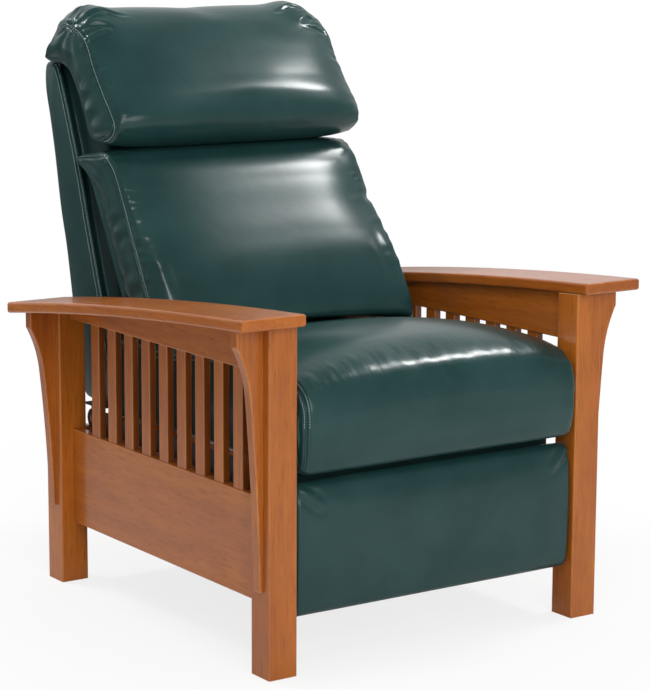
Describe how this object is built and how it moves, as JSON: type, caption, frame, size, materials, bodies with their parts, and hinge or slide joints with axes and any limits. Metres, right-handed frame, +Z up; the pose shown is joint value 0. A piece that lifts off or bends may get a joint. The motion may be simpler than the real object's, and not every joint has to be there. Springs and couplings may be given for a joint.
{
  "type": "reclining armchair",
  "caption": "Slatted wooden reclining armchair with wide sloping arms, leather cushions, reclining back and fold-out footrest on steel links.",
  "frame": {"origin": "on the floor, at the middle of the overall width and depth", "axes": "+Z up, +X to the sitter's left, +Y to the rear; the chair faces -Y"},
  "size_m": [0.862, 0.978, 1.104],
  "materials": {
    "oak": "satin reddish-brown stain",
    "plain_wood": "plain sawn wood",
    "black_steel": "satin black",
    "bright_steel": "zinc plated",
    "webbing": "woven",
    "green_leather": "glossy dark green"
  },
  "bodies": {
    "base": {"post_front_left": "oak", "post_front_right": "oak", "post_rear_left": "oak", "post_rear_right": "oak", "corbel_front_left": "oak", "corbel_front_right": "oak", "corbel_rear_left": "oak", "corbel_rear_right": "oak", "arm_left": "oak", "arm_right": "oak", "apron_left": "oak", "apron_right": "oak", "side_panel_left": "oak", "side_panel_right": "oak", "rear_rail": "oak", "slat_left_1": "oak", "slat_left_2": "oak", "slat_left_3": "oak", "slat_left_4": "oak", "slat_left_5": "oak", "slat_left_6": "oak", "slat_left_7": "oak", "slat_left_8": "oak", "slat_left_9": "oak", "slat_right_1": "oak", "slat_right_2": "oak", "slat_right_3": "oak", "slat_right_4": "oak", "slat_right_5": "oak", "slat_right_6": "oak", "slat_right_7": "oak", "slat_right_8": "oak", "slat_right_9": "oak", "base_rail_left": "black_steel", "base_rail_right": "black_steel", "base_cross_tubes": "black_steel", "base_fasteners": "bright_steel"},
    "front_swing": {"swing_links_front": "black_steel"},
    "rear_swing": {"swing_links_rear": "black_steel"},
    "seat": {"seat_plate_left": "black_steel", "seat_plate_right": "black_steel", "seat_pins": "bright_steel", "seat_rail_front": "plain_wood", "seat_rail_rear": "plain_wood", "seat_webbing": "webbing", "seat_cushion": "green_leather"},
    "back": {"back_brackets": "black_steel", "back_shell": "green_leather", "lumbar_cushion": "green_leather", "head_pillow": "green_leather"},
    "crank": {"crank_links": "black_steel"},
    "idler": {"idler_links": "black_steel"},
    "lift": {"lift_links": "black_steel", "lift_pins": "bright_steel"},
    "guide": {"guide_links": "black_steel", "guide_pins": "bright_steel"},
    "footrest": {"footrest_brackets": "black_steel", "footrest_board": "plain_wood", "footrest_pad": "green_leather"}
  },
  "joints": [
    {"name": "back_recline", "type": "hinge", "parent": "seat", "child": "back", "pos_m": [0, 0.251, 0.323], "axis": [-1, 0, 0], "range_deg": [0, 30]},
    {"name": "carriage_swing", "type": "hinge", "parent": "base", "child": "front_swing", "pos_m": [0, -0.069, 0.172], "axis": [1, 0, 0], "range_deg": [0, 45]},
    {"name": "seat_level", "type": "hinge", "parent": "front_swing", "child": "seat", "pos_m": [0, -0.03822, 0.25657], "axis": [1, 0, 0], "range_deg": [-45, 0]},
    {"name": "carriage_rear_swing", "type": "hinge", "parent": "base", "child": "rear_swing", "pos_m": [0, 0.176, 0.172], "axis": [1, 0, 0], "range_deg": [0, 45]},
    {"name": "footrest_open", "type": "hinge", "parent": "seat", "child": "crank", "pos_m": [0, -0.33, 0.323], "axis": [-1, 0, 0], "range_deg": [0, 90]},
    {"name": "idler_swing", "type": "hinge", "parent": "seat", "child": "idler", "pos_m": [0, -0.284, 0.323], "axis": [-1, 0, 0], "range_deg": [0, 90]},
    {"name": "lift_swing", "type": "hinge", "parent": "crank", "child": "lift", "pos_m": [0, -0.21127, 0.15958], "axis": [-1, 0, 0], "range_deg": [-90, 0]},
    {"name": "guide_swing", "type": "hinge", "parent": "crank", "child": "guide", "pos_m": [0, -0.18423, 0.12236], "axis": [-1, 0, 0], "range_deg": [-90, 0]},
    {"name": "footrest_turn", "type": "hinge", "parent": "lift", "child": "footrest", "pos_m": [0, -0.38445, 0.29199], "axis": [-1, 0, 0], "range_deg": [0, 90]}
  ],
  "couplings": [
    {"joint": "carriage_swing", "follows": "back_recline", "ratio": 1.5},
    {"joint": "seat_level", "follows": "back_recline", "ratio": -1.5},
    {"joint": "carriage_rear_swing", "follows": "back_recline", "ratio": 1.5},
    {"joint": "idler_swing", "follows": "footrest_open", "ratio": 1},
    {"joint": "lift_swing", "follows": "footrest_open", "ratio": -1},
    {"joint": "guide_swing", "follows": "footrest_open", "ratio": -1},
    {"joint": "footrest_turn", "follows": "footrest_open", "ratio": 1}
  ]
}
